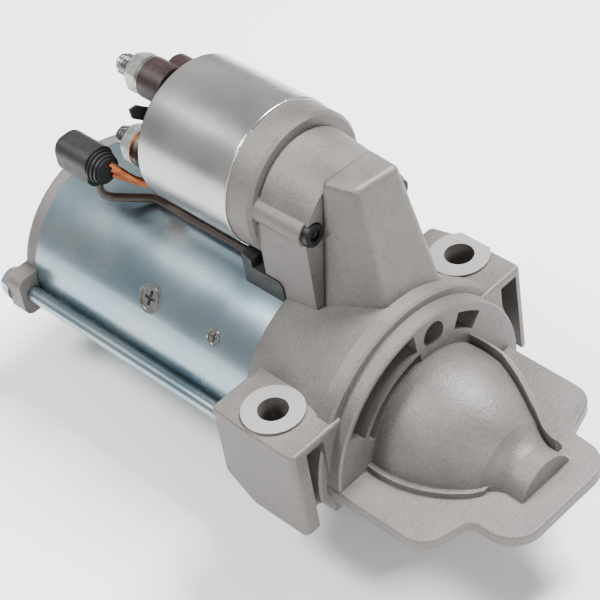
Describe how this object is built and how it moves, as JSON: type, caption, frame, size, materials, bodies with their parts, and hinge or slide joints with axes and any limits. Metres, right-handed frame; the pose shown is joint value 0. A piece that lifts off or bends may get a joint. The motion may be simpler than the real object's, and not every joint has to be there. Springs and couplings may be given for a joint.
{
  "type": "starter motor",
  "caption": "Geared starter motor with a side solenoid, a domed nose over the drive pinion and boxed ears for bolts that run across the shaft.",
  "frame": {"origin": "midway between the two mounting holes, on the face that meets the engine", "axes": "+X along the shaft to the nose, +Z along the mounting bolts towards their heads, +Y sideways"},
  "size_m": [0.234, 0.1115, 0.1325],
  "materials": {
    "cast_alloy": "sand-textured die casting",
    "zinc_yoke": "blue bright zinc plate",
    "solenoid_plate": "bright zinc plate",
    "plain_steel": "bright",
    "hard_steel": "oiled",
    "core_steel": "laminated",
    "sintered_bronze": "oil filled",
    "copper": "bare",
    "enamelled_copper": "varnished",
    "phenolic": "moulded",
    "black_plastic": "moulded",
    "tan_plastic": "moulded",
    "black_rubber": "matt",
    "carbon": "pressed"
  },
  "bodies": {
    "armature": {"armature_shaft": "hard_steel", "armature_core": "core_steel", "armature_winding": "enamelled_copper", "commutator": "copper"},
    "carrier": {"output_shaft": "hard_steel", "planet_pins": "plain_steel", "stop_collar": "hard_steel", "snap_ring": "plain_steel"},
    "planet_1": {"planet_gear_1": "hard_steel"},
    "planet_2": {"planet_gear_2": "hard_steel"},
    "planet_3": {"planet_gear_3": "hard_steel"},
    "clutch": {"clutch_sleeve": "hard_steel", "clutch_shell": "hard_steel", "clutch_rollers": "plain_steel"},
    "pinion": {"pinion": "hard_steel", "pinion_bush": "sintered_bronze"},
    "lever": {"fork_lever": "tan_plastic", "fork_pin": "plain_steel", "fork_pads": "tan_plastic"},
    "plunger": {"plunger": "hard_steel"},
    "contact": {"contact_rod": "plain_steel", "contact_disc": "copper"},
    "root": {"brush_holder": "core_steel", "brush_springs": "plain_steel", "brushes": "carbon", "centre_support": "cast_alloy", "coil_bobbin": "black_plastic", "cover_bush": "sintered_bronze", "cover_screws": "plain_steel", "drive_end_housing": "cast_alloy", "field_coils": "enamelled_copper", "fork_pivot_pin": "plain_steel", "gear_cover": "plain_steel", "motor_lead": "copper", "nose_bush": "sintered_bronze", "plunger_guide": "sintered_bronze", "plunger_spring": "plain_steel", "pole_screws": "plain_steel", "pole_shoes": "core_steel", "rear_bush": "sintered_bronze", "rear_cover": "cast_alloy", "ring_gear": "hard_steel", "rubber_grommet": "black_rubber", "solenoid_cap": "phenolic", "solenoid_case": "solenoid_plate", "solenoid_coil": "enamelled_copper", "solenoid_core": "hard_steel", "solenoid_screws": "plain_steel", "stud_nuts": "solenoid_plate", "stud_washers": "solenoid_plate", "support_bush": "sintered_bronze", "support_screws": "plain_steel", "terminal_studs": "plain_steel", "through_bolts": "zinc_yoke", "trigger_connector": "black_plastic", "trigger_lead": "black_plastic", "trigger_terminal": "black_plastic", "trigger_wires": "copper", "yoke": "zinc_yoke"}
  },
  "joints": [
    {"name": "armature_spin", "type": "hinge", "parent": "root", "child": "armature", "pos_m": [-0.08, 0, 0.0095], "axis": [1, 0, 0], "continuous": true},
    {"name": "carrier_spin", "type": "hinge", "parent": "root", "child": "carrier", "pos_m": [-0.02, 0, 0.0095], "axis": [1, 0, 0], "continuous": true},
    {"name": "planet_spin_1", "type": "hinge", "parent": "carrier", "child": "planet_1", "pos_m": [-0.037, 0.018, 0.0095], "axis": [1, 0, 0], "continuous": true},
    {"name": "planet_spin_2", "type": "hinge", "parent": "carrier", "child": "planet_2", "pos_m": [-0.037, -0.009, 0.02509], "axis": [1, 0, 0], "continuous": true},
    {"name": "planet_spin_3", "type": "hinge", "parent": "carrier", "child": "planet_3", "pos_m": [-0.037, -0.009, -0.00609], "axis": [1, 0, 0], "continuous": true},
    {"name": "clutch_slide", "type": "slide", "parent": "carrier", "child": "clutch", "axis": [1, 0, 0], "range_m": [0, 0.01127]},
    {"name": "pinion_overrun", "type": "hinge", "parent": "clutch", "child": "pinion", "pos_m": [0.02, 0, 0.0095], "axis": [1, 0, 0], "continuous": true},
    {"name": "fork_swing", "type": "hinge", "parent": "root", "child": "lever", "pos_m": [-0.0075, 0.00599, 0.045], "axis": [0, -0.9861, 0.1663], "range_deg": [0, 17.95]},
    {"name": "plunger_slide", "type": "slide", "parent": "root", "child": "plunger", "axis": [-1, 0, 0], "range_m": [0, 0.01], "stiffness_N_per_m": 1800, "springref_m": -0.006, "deforming": ["plunger_spring"]},
    {"name": "contact_slide", "type": "slide", "parent": "root", "child": "contact", "axis": [-1, 0, 0], "range_m": [0, 0.00185]}
  ],
  "couplings": [
    {"joint": "carrier_spin", "follows": "armature_spin", "ratio": 0.2},
    {"joint": "planet_spin_1", "follows": "armature_spin", "ratio": -0.53333},
    {"joint": "planet_spin_2", "follows": "armature_spin", "ratio": -0.53333},
    {"joint": "planet_spin_3", "follows": "armature_spin", "ratio": -0.53333},
    {"joint": "clutch_slide", "follows": "plunger_slide", "ratio": 1.1269},
    {"joint": "fork_swing", "follows": "plunger_slide", "rad_per_m": 31.303},
    {"joint": "contact_slide", "follows": "plunger_slide", "ratio": 0.185}
  ]
}
